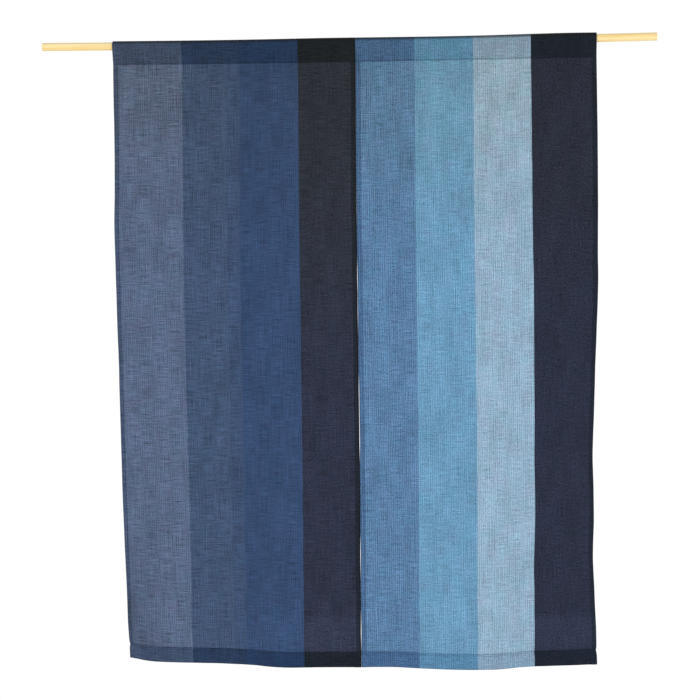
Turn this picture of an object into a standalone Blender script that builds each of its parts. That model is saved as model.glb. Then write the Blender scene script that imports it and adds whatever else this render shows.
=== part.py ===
"""Noren curtain: two woven panels, sewn together at the top of the slit, on a thin wooden rod.

Metres, +Z up, +X to the right along the rod as seen from the front, and the front faces -Y.
The origin lies midway between the centres of the rod's two cut ends.
"""

from collections import namedtuple
from math import acos, cos, pi, sin

import bmesh
import bpy
import numpy as np

NAME = "noren_curtain"

# Rod
ROD_LENGTH = 1.078
ROD_RADIUS = 0.0072
ROD_SAG = 0.0026  # how far the rod's middle hangs below its ends
ROD_BEND = 0.530  # half the length that bends, so that both ends stay level
ROD_STATIONS = 15
ROD_SIDES = 24
ROD_END_EASE = 0.0004  # softened rim of each cut end

# Cloth
CLOTH = 0.0012  # thickness of one layer
DROP = 1.0872  # from the rod's centre line down to the hem's edge
HEM = 0.0245
SIDE_HEM = 0.008
HEM_STEP = 0.0015  # width over which the cloth steps from two layers to one
COLUMNS = 27  # columns of faces between the side hems
ROWS = 27  # rows of faces between the pocket seam and the bottom hem

# Pocket that holds the rod
POCKET_DROP = 0.030  # from the rod's centre line down to the seam
ROD_CLEARANCE = 0.0006  # from the rod to the cloth's inner face
POCKET_ARC_STEPS = 10
POCKET_SLACK = 0.0008  # how far each layer bellies out between the rod and the seam

# Slit between the panels: at each depth below the rod, where its middle line lies and its gap
SlitPoint = namedtuple("SlitPoint", "down x gap")
SLIT = (
    SlitPoint(0.000, 0.0174, 0.0004),
    SlitPoint(0.240, 0.0170, 0.0004),
    SlitPoint(0.390, 0.0187, 0.0004),
    SlitPoint(0.410, 0.0189, 0.0007),
    SlitPoint(0.500, 0.0203, 0.0005),
    SlitPoint(0.600, 0.0219, 0.0005),
    SlitPoint(0.640, 0.0225, 0.0009),
    SlitPoint(0.700, 0.0232, 0.0009),
    SlitPoint(0.735, 0.0235, 0.0004),
    SlitPoint(0.850, 0.0241, 0.0005),
    SlitPoint(0.900, 0.0243, 0.0008),
    SlitPoint(0.950, 0.0245, 0.0004),
    SlitPoint(1.030, 0.0251, 0.0009),
    SlitPoint(1.065, 0.0254, 0.0004),
    SlitPoint(1.090, 0.0256, 0.0008),
)

# Waves of each panel, a row for each crest, hollow or edge. across is the distance from the
# slit along the flat cloth. The next four columns say how far the cloth stands forward of the
# rod's plane at four depths, and lift is how far the hem's edge rises there.
UPPER, MIDDLE, LOWER = 0.290, 0.560, 0.790
Wave = namedtuple("Wave", "across upper middle lower hem lift")
LEFT_WAVES = (
    Wave(0.000, 0.003, 0.009, 0.014, 0.018, 0.000),
    Wave(0.075, 0.004, 0.012, 0.020, 0.025, 0.000),
    Wave(0.140, 0.005, 0.013, 0.024, 0.031, 0.000),
    Wave(0.200, 0.001, 0.004, 0.006, 0.009, 0.000),
    Wave(0.255, -0.002, -0.004, -0.004, -0.003, 0.000),
    Wave(0.330, -0.001, -0.002, -0.004, -0.005, 0.000),
    Wave(0.380, -0.002, -0.005, -0.008, -0.013, 0.000),
    Wave(0.430, -0.006, -0.018, -0.020, -0.033, 0.003),
)
RIGHT_WAVES = (
    Wave(0.000, 0.003, 0.009, 0.014, 0.018, 0.000),
    Wave(0.050, 0.002, 0.006, 0.009, 0.013, 0.000),
    Wave(0.110, 0.003, 0.010, 0.016, 0.021, -0.001),
    Wave(0.190, 0.004, 0.013, 0.022, 0.031, -0.001),
    Wave(0.235, 0.003, 0.009, 0.015, 0.026, -0.001),
    Wave(0.290, 0.000, -0.001, -0.002, 0.002, 0.000),
    Wave(0.350, -0.002, -0.012, -0.018, -0.012, 0.000),
    Wave(0.419, -0.004, -0.036, -0.050, -0.028, 0.000),
)

# Outer edge of each panel: how far out it strays at each depth from where the waves put it
EdgePoint = namedtuple("EdgePoint", "down out")
LEFT_EDGE = (
    EdgePoint(0.000, -0.0008),
    EdgePoint(0.100, -0.0008),
    EdgePoint(0.190, -0.0019),
    EdgePoint(0.250, -0.0012),
    EdgePoint(0.320, 0.0012),
    EdgePoint(0.400, 0.0006),
    EdgePoint(0.520, 0.0014),
    EdgePoint(0.600, 0.0012),
    EdgePoint(0.700, 0.0018),
    EdgePoint(0.850, 0.0009),
    EdgePoint(0.950, 0.0000),
    EdgePoint(1.090, -0.0005),
)
RIGHT_EDGE = (
    EdgePoint(0.000, 0.0000),
    EdgePoint(0.100, 0.0002),
    EdgePoint(0.220, 0.0015),
    EdgePoint(0.300, 0.0008),
    EdgePoint(0.360, 0.0003),
    EdgePoint(0.420, 0.0008),
    EdgePoint(0.500, 0.0000),
    EdgePoint(0.580, -0.0010),
    EdgePoint(0.660, -0.0020),
    EdgePoint(0.700, -0.0020),
    EdgePoint(0.750, 0.0000),
    EdgePoint(0.840, 0.0006),
    EdgePoint(0.900, -0.0012),
    EdgePoint(0.950, 0.0000),
    EdgePoint(1.090, -0.0002),
)

Panel = namedtuple("Panel", "name side width waves edge")
PANELS = (
    Panel("panel_left", -1, 0.430, LEFT_WAVES, LEFT_EDGE),
    Panel("panel_right", 1, 0.419, RIGHT_WAVES, RIGHT_EDGE),
)

# Colour, roughness
ROD_FINISH = ((0.96, 0.78, 0.42, 1.0), 0.55)
PANEL_FINISH = {
    "panel_left": ((0.045, 0.075, 0.15, 1.0), 0.9),
    "panel_right": ((0.12, 0.22, 0.36, 1.0), 0.9),
}


def clear_scene():
    for thing in list(bpy.data.objects):
        bpy.data.objects.remove(thing, do_unlink=True)


def new_collection(name):
    collection = bpy.data.collections.new(name)
    bpy.context.scene.collection.children.link(collection)
    return collection


def new_material(name, colour, roughness):
    material = bpy.data.materials.new(name)
    material.use_nodes = True
    shader = material.node_tree.nodes["Principled BSDF"]
    shader.inputs["Base Color"].default_value = colour
    shader.inputs["Roughness"].default_value = roughness
    return material


def smooth_curve(at, stations, values):
    """Read the smooth curve through the stations' values at each place in at."""
    stations = np.asarray(stations, float)
    values = np.asarray(values, float)
    slopes = np.gradient(values, stations, axis=0)
    before = np.clip(np.searchsorted(stations, at) - 1, 0, len(stations) - 2)
    across = (len(at),) + (1,) * (values.ndim - 1)
    step = (stations[before + 1] - stations[before]).reshape(across)
    t = (at - stations[before]).reshape(across) / step
    from_start = (1 + 2 * t) * (1 - t) ** 2 * values[before]
    from_end = t**2 * (3 - 2 * t) * values[before + 1]
    turn_start = t * (1 - t) ** 2 * slopes[before] * step
    turn_end = t**2 * (t - 1) * slopes[before + 1] * step
    return from_start + from_end + turn_start + turn_end


def rod_height(x):
    """Height of the rod's centre line, which sags between its level ends."""
    bend = np.clip(np.asarray(x, float) / ROD_BEND, -1, 1)
    return -ROD_SAG * (1 - bend**2)


def columns_across(width):
    """Distances from the slit of the panel's columns, with a narrow step inside each side hem."""
    inner = np.linspace(SIDE_HEM + HEM_STEP, width - SIDE_HEM - HEM_STEP, COLUMNS + 1)
    return np.concatenate([[0, SIDE_HEM], inner, [width - SIDE_HEM, width]])


def rows_down():
    """Distances below the rod's centre line of the rows from the pocket seam to the hem's edge."""
    hem_top = DROP - HEM
    inner = np.linspace(POCKET_DROP, hem_top - HEM_STEP, ROWS + 1)
    return np.concatenate([inner, [hem_top, DROP]])


def wave_forward(waves, across, down):
    """How far the cloth stands forward, in a row for each depth and a column for each distance."""
    table = np.array(waves)
    across = np.asarray(across, float)
    at_levels = smooth_curve(across, table[:, 0], table[:, 1:5]).T
    at_seam = np.zeros_like(at_levels[:1])
    levels = [POCKET_DROP, UPPER, MIDDLE, LOWER, DROP]
    return smooth_curve(np.asarray(down, float), levels, np.concatenate([at_seam, at_levels]))


def hem_lift(waves, across, down):
    """How far each point is raised, growing towards the hem."""
    table = np.array(waves)
    lift = smooth_curve(np.asarray(across, float), table[:, 0], table[:, 5])
    return np.outer((np.asarray(down, float) / DROP) ** 2, lift)


def slit_line(down):
    """The slit's middle line and half its gap, at each depth."""
    table = np.array(SLIT)
    middle = smooth_curve(down, table[:, 0], table[:, 1])
    return middle, np.interp(down, table[:, 0], table[:, 2]) / 2


def edge_stray(panel, across, down):
    """How far out each point strays, which grows towards the panel's outer edge."""
    table = np.array(panel.edge)
    return np.outer(smooth_curve(down, table[:, 0], table[:, 1]), (across / panel.width) ** 2)


def hang(panel, across, down):
    """Place the flat cloth's points: arrays of x, y and z, with the cloth's width kept."""
    fine = np.linspace(0, panel.width, 400)
    forward = wave_forward(panel.waves, fine, down)
    rise = np.diff(forward, axis=1)
    run = np.sqrt(np.maximum(np.diff(fine) ** 2 - rise**2, 0))
    reach = np.concatenate([np.zeros((len(down), 1)), np.cumsum(run, axis=1)], axis=1)
    reach = np.array([np.interp(across, fine, row) for row in reach])
    middle, half_gap = slit_line(down)
    outward = half_gap[:, None] + reach + edge_stray(panel, across, down)
    x = middle[:, None] + panel.side * outward
    y = -wave_forward(panel.waves, across, down)
    z = rod_height(x) - down[:, None] + hem_lift(panel.waves, across, down)
    return x, y, z


def pocket_path():
    """The pocket's middle line from the seam up the front, over the rod and down to the seam."""
    radius = ROD_RADIUS + ROD_CLEARANCE + CLOTH / 2
    touch = acos(radius / POCKET_DROP)
    front = [(-radius * sin(touch) / 2 - POCKET_SLACK, -(radius * cos(touch) + POCKET_DROP) / 2)]
    turns = np.linspace(touch, 2 * pi - touch, POCKET_ARC_STEPS + 1)
    over = [(-radius * sin(a), -radius * cos(a)) for a in turns]
    back = [(-y, z) for y, z in front]
    return front + over + back


def grid_faces(bm, rows):
    """Fill the quads between neighbouring rows of vertices."""
    for upper, lower in zip(rows, rows[1:]):
        for i in range(len(upper) - 1):
            bm.faces.new((upper[i], lower[i], lower[i + 1], upper[i + 1]))


def build_panel(panel, collection):
    """One panel: a sheet whose upper end loops over the rod and is sewn back to itself."""
    across = columns_across(panel.width)
    down = rows_down()
    side_hem = (across <= SIDE_HEM) | (across >= panel.width - SIDE_HEM)
    bottom_hem = down >= DROP - HEM
    double = side_hem[None, :] | bottom_hem[:, None]
    double[0] = False

    bm = bmesh.new()
    x, y, z = hang(panel, across, down)
    y = y + double * CLOTH / 2
    sheet = [[bm.verts.new(p) for p in zip(x[r], y[r], z[r])] for r in range(len(down))]
    seam_x = x[0]
    pocket = [
        [bm.verts.new((px, py, rod_height(px) + pz)) for px in seam_x]
        for py, pz in pocket_path()
    ]
    grid_faces(bm, sheet)
    grid_faces(bm, [sheet[0]] + pocket + [sheet[0]])
    bm.verts.index_update()
    two_layers = [v.index for r, row in enumerate(sheet) for c, v in enumerate(row) if double[r, c]]
    one_layer = sorted(set(range(len(bm.verts))) - set(two_layers))
    mesh = bpy.data.meshes.new(panel.name)
    bm.to_mesh(mesh)
    bm.free()
    mesh.shade_smooth()

    cloth = bpy.data.objects.new(panel.name, mesh)
    collection.objects.link(cloth)
    layers = cloth.vertex_groups.new(name="layers")
    layers.add(two_layers, 1.0, "REPLACE")
    layers.add(one_layer, 0.5, "REPLACE")
    solid = cloth.modifiers.new("cloth_thickness", "SOLIDIFY")
    solid.solidify_mode = "NON_MANIFOLD"
    solid.nonmanifold_thickness_mode = "EVEN"
    solid.nonmanifold_merge_threshold = 0.0001
    solid.thickness = 2 * CLOTH
    solid.offset = 0
    solid.vertex_group = layers.name
    solid.thickness_vertex_group = 0
    cloth.data.materials.append(new_material(f"{panel.name}_weave", *PANEL_FINISH[panel.name]))
    return cloth


def build_rod(collection):
    """The rod, swept along its sagging centre line and cut square at both ends."""
    curve = bpy.data.curves.new("rod", "CURVE")
    curve.dimensions = "3D"
    curve.bevel_depth = ROD_RADIUS
    curve.bevel_resolution = (ROD_SIDES - 4) // 2
    curve.use_fill_caps = True
    bend = np.linspace(-ROD_BEND, ROD_BEND, ROD_STATIONS)
    stations = [-ROD_LENGTH / 2, *bend, ROD_LENGTH / 2]
    spline = curve.splines.new("POLY")
    spline.points.add(len(stations) - 1)
    for point, x in zip(spline.points, stations):
        point.co = (x, 0, float(rod_height(x)), 1)
    rod = bpy.data.objects.new("rod", curve)
    collection.objects.link(rod)
    weld = rod.modifiers.new("closed_caps", "WELD")
    weld.merge_threshold = 0.00005
    ease = rod.modifiers.new("eased_ends", "BEVEL")
    ease.width = ROD_END_EASE
    ease.segments = 1
    ease.limit_method = "ANGLE"
    ease.angle_limit = pi / 3
    curve.materials.append(new_material("rod_wood", *ROD_FINISH))
    return rod


def main():
    clear_scene()
    collection = new_collection(NAME)
    hanger = bpy.data.objects.new(f"{NAME}_origin", None)
    collection.objects.link(hanger)
    pieces = [build_rod(collection)] + [build_panel(panel, collection) for panel in PANELS]
    for piece in pieces:
        piece.parent = hanger


main()
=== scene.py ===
"""Looks of the noren curtain: two striped panels of slubby plain weave on a thin wooden rod.

Metres, +Z up, +X to the right along the rod, and the front of the cloth faces -Y. The origin lies
midway between the centres of the rod's two ends.
"""

from collections import namedtuple
from math import acos, cos, pi, radians, sin

import bmesh
import bpy
import numpy as np
from mathutils import Matrix, Vector


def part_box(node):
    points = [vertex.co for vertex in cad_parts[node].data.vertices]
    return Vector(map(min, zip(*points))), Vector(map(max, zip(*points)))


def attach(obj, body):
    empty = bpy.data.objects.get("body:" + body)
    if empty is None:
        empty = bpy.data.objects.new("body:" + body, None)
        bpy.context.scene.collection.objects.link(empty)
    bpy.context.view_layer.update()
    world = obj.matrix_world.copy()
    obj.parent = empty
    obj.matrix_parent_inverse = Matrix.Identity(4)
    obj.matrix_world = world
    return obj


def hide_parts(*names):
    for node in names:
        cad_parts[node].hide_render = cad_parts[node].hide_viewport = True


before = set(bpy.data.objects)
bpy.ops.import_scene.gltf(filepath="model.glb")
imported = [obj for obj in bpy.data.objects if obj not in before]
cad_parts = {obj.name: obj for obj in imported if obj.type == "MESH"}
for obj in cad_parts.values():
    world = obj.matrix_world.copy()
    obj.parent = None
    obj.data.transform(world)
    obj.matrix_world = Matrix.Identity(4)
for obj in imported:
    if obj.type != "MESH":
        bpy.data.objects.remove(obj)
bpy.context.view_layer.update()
ROD_LOW, ROD_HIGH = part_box("rod")

# Rod, as in the frame
ROD_LENGTH = ROD_HIGH.x - ROD_LOW.x
ROD_RADIUS = ROD_HIGH.y
ROD_SAG = 0.0026
ROD_BEND = 0.530
ROD_SIDES = 48
ROD_RINGS = 150
ROD_UNEVEN = 0.00008
ROD_END_ROUND = 0.0005
ROD_RIM = ((0.0, 0.90), (0.3, 0.97))  # the rim's rings: shares of ROD_END_ROUND and of the radius
ROD_SEED = 5
ROD_SHARP = radians(50)
ROD_TOP_SHADE = 0.78  # painted shade along the rod's top, as a share of the rest of the wood's colour
ROD_TOP_REACH = (0.35, 0.95)  # the heights between which that shade sets in, in radii
ROD_EXPOSURE = 1.36  # how much brighter than its own colour the lamps show the wood
WOOD_LIGHT, WOOD_DARK = (255, 237, 180), (246, 208, 130)
RING_LIGHT, RING_DARK = (232, 196, 132), (205, 160, 96)
RING_PITCH = 0.0014
RING_DEPTH = 0.0001  # how deep the end's rings reach into the rod
GRAIN = (6.0, 260.0)  # broad and then fine grain, in marks to the metre along and across the rod
FINE_GRAIN = (45.0, 1600.0)
FINE_GRAIN_SHARE = 0.35
GRAIN_SPREAD = (0.35, 0.65)
WOOD_ROUGHNESS = (0.42, 0.60)

# Cloth, hung as in the frame
DROP = 1.0872
HEM = 0.0245
SIDE_HEM = 0.008
POCKET_DROP = 0.030
THICKNESS = 0.00055  # of one layer
LAYER = 0.0008  # from the middle of one layer to the middle of the next
CORNER_LAYERS = 2.6  # how far the turned hem stands off where the side hems lie in it, in layers
HEM_TUCK = 0.0028  # how far a turned edge reaches past its stitches
FOLD_DEPTH = 0.6  # of the bottom hem's fold, as a share of a half circle's
POCKET_CLEARANCE = 0.0013  # from the rod to the cloth, room for the side hems
POCKET_SLACK = 0.0008

# Middle line of the slit, and how far it gapes
SlitPoint = namedtuple("SlitPoint", "down x gap")
SLIT = (
    SlitPoint(0.000, 0.0168, 0.00003),
    SlitPoint(0.060, 0.0172, 0.00003),
    SlitPoint(0.120, 0.0175, 0.00003),
    SlitPoint(0.240, 0.0178, 0.00003),
    SlitPoint(0.375, 0.0193, 0.00003),
    SlitPoint(0.392, 0.0195, 0.0004),
    SlitPoint(0.410, 0.0197, 0.0007),
    SlitPoint(0.440, 0.0201, 0.0003),
    SlitPoint(0.470, 0.0204, 0.0005),
    SlitPoint(0.515, 0.0209, 0.00004),
    SlitPoint(0.575, 0.0217, 0.00004),
    SlitPoint(0.604, 0.0222, 0.0007),
    SlitPoint(0.640, 0.0227, 0.0006),
    SlitPoint(0.700, 0.0234, 0.0009),
    SlitPoint(0.732, 0.0236, 0.00004),
    SlitPoint(0.855, 0.0244, 0.00004),
    SlitPoint(0.890, 0.0245, 0.0008),
    SlitPoint(0.935, 0.0247, 0.00004),
    SlitPoint(0.985, 0.0251, 0.00004),
    SlitPoint(1.026, 0.0253, 0.0009),
    SlitPoint(1.056, 0.0255, 0.00004),
    SlitPoint(1.090, 0.0257, 0.00003),
)

# How far the cloth stands forward at these depths and at the hem, and how far the hem is lifted
UPPER, MIDDLE, LOWER = 0.290, 0.560, 0.790
Wave = namedtuple("Wave", "across upper middle lower hem lift")
LEFT_WAVES = (
    Wave(0.000, 0.003, 0.009, 0.014, 0.018, 0.000),
    Wave(0.075, 0.004, 0.012, 0.020, 0.025, 0.000),
    Wave(0.140, 0.005, 0.013, 0.024, 0.031, 0.000),
    Wave(0.200, 0.001, 0.004, 0.006, 0.009, 0.000),
    Wave(0.255, -0.002, -0.004, -0.004, -0.003, 0.000),
    Wave(0.330, -0.001, -0.002, -0.004, -0.005, 0.000),
    Wave(0.380, -0.002, -0.005, -0.008, -0.013, 0.000),
    Wave(0.430, -0.006, -0.018, -0.020, -0.033, 0.003),
)
RIGHT_WAVES = (
    Wave(0.000, 0.003, 0.009, 0.014, 0.018, 0.000),
    Wave(0.050, 0.002, 0.006, 0.009, 0.013, 0.000),
    Wave(0.110, 0.003, 0.010, 0.016, 0.021, -0.001),
    Wave(0.190, 0.004, 0.013, 0.022, 0.031, -0.001),
    Wave(0.235, 0.003, 0.009, 0.015, 0.026, -0.001),
    Wave(0.290, 0.000, -0.001, -0.002, 0.002, 0.000),
    Wave(0.350, -0.002, -0.012, -0.018, -0.012, 0.000),
    Wave(0.419, -0.004, -0.036, -0.050, -0.028, 0.000),
)

# How far the outer edges stray outwards
EdgePoint = namedtuple("EdgePoint", "down out")
LEFT_EDGE = (
    EdgePoint(0.000, -0.0006),
    EdgePoint(0.100, -0.0003),
    EdgePoint(0.190, -0.0010),
    EdgePoint(0.250, -0.0002),
    EdgePoint(0.320, 0.0023),
    EdgePoint(0.400, 0.0022),
    EdgePoint(0.520, 0.0031),
    EdgePoint(0.600, 0.0032),
    EdgePoint(0.700, 0.0029),
    EdgePoint(0.850, 0.0021),
    EdgePoint(0.950, 0.0007),
    EdgePoint(1.010, 0.0005),
    EdgePoint(1.090, 0.0004),
)
RIGHT_EDGE = (
    EdgePoint(0.000, -0.0008),
    EdgePoint(0.100, -0.0001),
    EdgePoint(0.220, 0.0007),
    EdgePoint(0.300, 0.0004),
    EdgePoint(0.360, 0.0000),
    EdgePoint(0.420, 0.0007),
    EdgePoint(0.500, 0.0005),
    EdgePoint(0.580, -0.0003),
    EdgePoint(0.660, -0.0009),
    EdgePoint(0.700, -0.0013),
    EdgePoint(0.750, 0.0003),
    EdgePoint(0.840, 0.0018),
    EdgePoint(0.900, -0.0015),
    EdgePoint(0.950, -0.0002),
    EdgePoint(1.020, 0.0000),
    EdgePoint(1.090, 0.0012),
)

# How far the loose top of each pocket stands above the rod, at each distance from the slit
RisePoint = namedtuple("RisePoint", "across rise")
LEFT_RISE = (
    RisePoint(0.000, 0.0010),
    RisePoint(0.060, 0.0011),
    RisePoint(0.120, 0.0007),
    RisePoint(0.180, 0.0003),
    RisePoint(0.240, 0.0001),
    RisePoint(0.430, 0.0001),
)
RIGHT_RISE = (
    RisePoint(0.000, 0.0009),
    RisePoint(0.060, 0.0006),
    RisePoint(0.140, 0.0002),
    RisePoint(0.230, 0.0003),
    RisePoint(0.300, 0.0010),
    RisePoint(0.380, 0.0013),
    RisePoint(0.419, 0.0008),
)

# Stripes of each panel, from the slit outwards: flat width at the rod, how far the stripe's outer
# edge has drifted outwards by the hem, the colour that one layer and two layers of the cloth show,
# as red, green and blue from 0 to 255, and how uneven its threads are beside the other stripes'.
# The two layers' colour holds painted shade: less light shines through two layers than one
Stripe = namedtuple("Stripe", "name width drift single double uneven")
LEFT_STRIPES = (
    Stripe("black", 0.1013, -0.0022, (47, 52, 70), (30, 36, 45), 1.05),
    Stripe("deep_blue", 0.1031, 0.0030, (55, 76, 111), (38, 59, 92), 0.78),
    Stripe("navy_dark", 0.0240, 0.0022, (63, 81, 112), (41, 58, 86), 0.90),
    Stripe("navy", 0.0785, -0.0006, (67, 85, 114), (42, 59, 87), 0.98),
    Stripe("grey_blue", 0.1231, 0.0, (90, 105, 133), (66, 80, 107), 0.98),
)
RIGHT_STRIPES = (
    Stripe("mid_blue", 0.1035, -0.0014, (91, 127, 164), (71, 103, 142), 1.22),
    Stripe("sky_blue", 0.1019, -0.0016, (108, 154, 187), (90, 137, 172), 0.95),
    Stripe("pale_blue", 0.1001, 0.0024, (146, 175, 198), (130, 158, 182), 0.92),
    Stripe("black", 0.1135, 0.0, (44, 49, 67), (30, 37, 50), 1.30),
)

Weave = namedtuple("Weave", "specks warp weft ribs")  # how strongly each kind of unevenness shows
BLACK_WEAVE = Weave(1.45, 0.85, 0.80, 0.25)  # the same in the black stripes, as shares of the panel's
Panel = namedtuple(
    "Panel",
    "name node slot side width waves edge rise stripes fade black_fade weave slit_shade corner_shade seed",
)
PANELS = (
    Panel(
        name="cloth_left",
        node="panel_left",
        slot="cloth_left",
        side=-1,
        width=0.430,
        waves=LEFT_WAVES,
        edge=LEFT_EDGE,
        rise=LEFT_RISE,
        stripes=LEFT_STRIPES,
        # fade: painted shade at the top, the colours there darker and browner, as shares
        fade=(0.965, 0.900, 0.820, 1.0),
        black_fade=(0.99, 0.97, 0.76, 1.0),
        weave=Weave(0.85, 0.95, 1.50, 0.13),
        slit_shade=0.80,
        corner_shade=0.24,
        seed=11,
    ),
    Panel(
        name="cloth_right",
        node="panel_right",
        slot="cloth_right",
        side=1,
        width=0.419,
        waves=RIGHT_WAVES,
        edge=RIGHT_EDGE,
        rise=RIGHT_RISE,
        stripes=RIGHT_STRIPES,
        # fade: painted shade at the top, the colours there darker and browner, as shares
        fade=(0.985, 0.930, 0.855, 1.0),
        black_fade=(1.0, 0.98, 0.86, 1.0),
        weave=Weave(0.90, 0.65, 0.88, 0.18),
        slit_shade=0.15,
        corner_shade=0.0,
        seed=23,
    ),
)

# Small unevenness of the cloth
RIPPLES = 18
RIPPLE_LENGTHS = (0.035, 0.140)
RIPPLE_TILT = 0.35
RIPPLE_HEIGHT = 0.00045
RIPPLE_FREE = 0.10  # how far under the pocket's seam the cloth ripples in full
PUCKER_LENGTH = 0.0095
PUCKER_WANDER = 2.0
PUCKER_WANDER_LENGTH = 0.037
PUCKER_REACH = 0.006
PUCKER_HEIGHT = 0.00016

# Faces of the cloth
HANG_STEPS = 700
CLOTH_STEP = 0.0048
SIDE_HEM_STEPS = 3
TAIL_STEPS = 3
FOLD_STEPS = 4
FOLD_SIDE_SHARE = 0.8  # how much of the side hems' turn is left in the bottom hem's fold
HEM_STEPS = 7
POCKET_LINE_STEPS = 8
POCKET_ARC_STEPS = 22

# Weave
THREAD_PITCH = 0.0006
THREAD_WANDER = 0.0016
WANDER_SIZE = (1 / 90, 1 / 12)  # of a thread's bends, across the thread and along it
THREAD_STEP = 0.0003  # how far a stripe's boundary steps from thread to thread
GAP_REACH = 0.4  # how far up a thread's side the gap's shade reaches, as a share of its height
CROSSING_REACH = 0.35  # how sharply the warp gives way to the weft at a crossing
WEFT_SHADE = (0.62, 0.66, 0.72, 1.0)  # the weft's colour as a share of the stripe's
WEFT_SHOW = 0.4  # how far the colour sways between warp and weft from crossing to crossing
GAP_SHADE = 0.78  # how dark the small gaps between the threads are
RIB_PITCH = 0.00351  # from one heavier warp thread to the next
RIB_SWAY = 0.0038  # how far the heavier threads stray sideways
RIB_SWAY_SIZE = (0.011, 0.07)
SPECK_SIZE = (0.0034, 0.0026)
STREAK_WIDTH = 0.0017
STREAK_LENGTH = 0.060
WEFT_STREAK_LENGTH = 0.026
PATCH_SIZE = 0.016
PATCH_SPREAD = 0.12  # to either side, of the noise that makes the patches
RIBS_IN_PATCHES = (0.5, 1.5)  # how strongly each shows, from patch to patch
WARP_IN_PATCHES = (0.7, 1.2)
WEFT_IN_PATCHES = (1.2, 0.7)
MOTTLE_SIZE = (0.03, 0.08)
MOTTLE_SPREAD = (0.3, 0.7)
MOTTLE = 0.11
SIDE_HEM_DEPTH = 0.8  # how much of the double cloth's colour the side hems show
SIDE_HEM_SHOWS = 0.0088  # how wide the side hems look, with what shows past their stitches
TOP_SHADE_REACH = 0.0118  # of the shade over the top of the rod
TOP_SHADE_FULL = 0.0071
TOP_SHADE = 0.80
EDGE_SHADE_REACH = 0.0016  # of the shade on a folded edge
EDGE_SHADE = 0.35
TURN_SHADE_REACH = 0.0018  # of the shadow where a hem's turned edge thickens the cloth
TURN_SHADE_INSET = 0.0009
TURN_SHADE = 0.28
# of the painted shade along the slit's edges
SLIT_SHADE_REACH = 0.0030
SLIT_SHADE_FULL = 0.0008
TOP_SHADE_TINT_REACH = 0.45  # down to where the colours have lost the painted shade of the top, a darker, browner tone
CORNER_SHADE_DOWN = (0.84, 1.00)  # where the outer corner's shade sets in above the hem
CORNER_SHADE_REACH = 0.095
CORNER_SHADE_FULL = 0.004
BOTTOM_LIFT_PLACE = 1.030  # where the dark stripes are a little lighter, above the hem
BOTTOM_LIFT_REACH = 0.036
BOTTOM_LIFT_FULL = 0.022
BOTTOM_LIFT = 0.32
LIFTED_DYES = (0.022, 0.062)  # from the darkest dye, which shows all of it, to one that shows none
BLACK_DYES = (0.026, 0.040)  # from the dyes that count as black to those that don't
BLACK_FADE_REACH = (0.26, 0.62)  # down to where the black stripes are a little browner
HUE_SIZE = (0.028, 0.028)
HUE_SPREAD = (0.35, 0.65)
HUE_COOL = (0.95, 1.015, 1.0, 1.0)  # the dye's slight unevenness, to either side of its own hue
HUE_WARM = (1.05, 0.985, 1.0, 1.0)
EXPOSURE = 1.36  # how much brighter than its own colour the lamps show the cloth
GLOSS_LIFT = 0.0055  # how much the cloth's slight gloss adds to what shows
STREAK_HEIGHT = 0.7  # of the uneven threads, beside a thread's own roundness
STREAK_ROUGHNESS = (0.96, 0.82)  # from the thinnest threads to the thickest
SHEEN, SHEEN_ROUGHNESS = 0.06, 0.5

# Stitches
STITCH_SPACING = 0.0042
STITCH_LENGTH = 0.0030
THREAD_RADIUS = 0.00022
STITCH_INSET = 0.0012
STITCH_SINK = -1.2  # a stitch's ends and the top of its arch, in radii of the thread
STITCH_RISE = 2.6
STITCH_POINTS = 5
STITCH_WOBBLE = 0.10
THREAD_SIDES = 6
POCKET_SEAM_INSET = 0.0006
SEAM_END = 0.0022  # from a panel's edge to where its level seams start
SEAM_POINTS = 180
SIDE_SEAM_START = 0.004
SIDE_SEAM_POINTS = 240
JOIN_DEPTH = 0.388
JOIN_SPACING = 0.0052
JOIN_LENGTH = 0.0036
JOIN_TURN = radians(62)
JOIN_START = 0.002
JOIN_POINTS = 90
JOIN_SEED = 7
THREAD_TWIST = 2500.0  # marks to the metre
THREAD_DARK, THREAD_LIGHT = (0.006, 0.008, 0.014, 1), (0.020, 0.026, 0.042, 1)

# Camera, fitted to the photo's perspective
PHOTO_SIDE = 700
FOCAL_PX = 1887.8
SENSOR = 36.0
CAMERA_DISTANCE = 3.3
CAMERA_AZIMUTH = radians(4.856)
CAMERA_ROLL = radians(0.188)
CAMERA_ASIDE = 0.0059
CAMERA_HEIGHT = -0.5386

# Two soft lamps in front of the cloth, an even white surrounding and a white floor
Lamp = namedtuple("Lamp", "name aside power colour")
LAMPS = (
    Lamp("left_lamp", -1.1, 12, (1.0, 0.99, 0.97)),
    Lamp("right_lamp", 1.1, 16, (0.97, 0.99, 1.0)),
)
LAMP_FRONT = -1.9
LAMP_HEIGHT = -0.70
LAMP_SIZE = 0.9
SKY_STRENGTH = 1.02
FLOOR_Z = -1.95
FLOOR_SIZE = 8.0
FLOOR_BRIGHTNESS = 0.85
FLOOR_DARKER = 0.98


def smooth_curve(at, stations, values):
    """Read the smooth curve through the stations' values at each place in at."""
    stations = np.asarray(stations, float)
    values = np.asarray(values, float)
    slopes = np.gradient(values, stations, axis=0)
    before = np.clip(np.searchsorted(stations, at) - 1, 0, len(stations) - 2)
    shape = (len(at),) + (1,) * (values.ndim - 1)
    step = (stations[before + 1] - stations[before]).reshape(shape)
    t = (at - stations[before]).reshape(shape) / step
    from_start = (1 + 2 * t) * (1 - t) ** 2 * values[before]
    from_end = t**2 * (3 - 2 * t) * values[before + 1]
    turn_start = t * (1 - t) ** 2 * slopes[before] * step
    turn_end = t**2 * (t - 1) * slopes[before + 1] * step
    return from_start + from_end + turn_start + turn_end


def rod_height(x):
    """Height of the rod's centre line, which sags between its level ends."""
    bend = np.clip(np.asarray(x, float) / ROD_BEND, -1, 1)
    return -ROD_SAG * (1 - bend**2)


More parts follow.
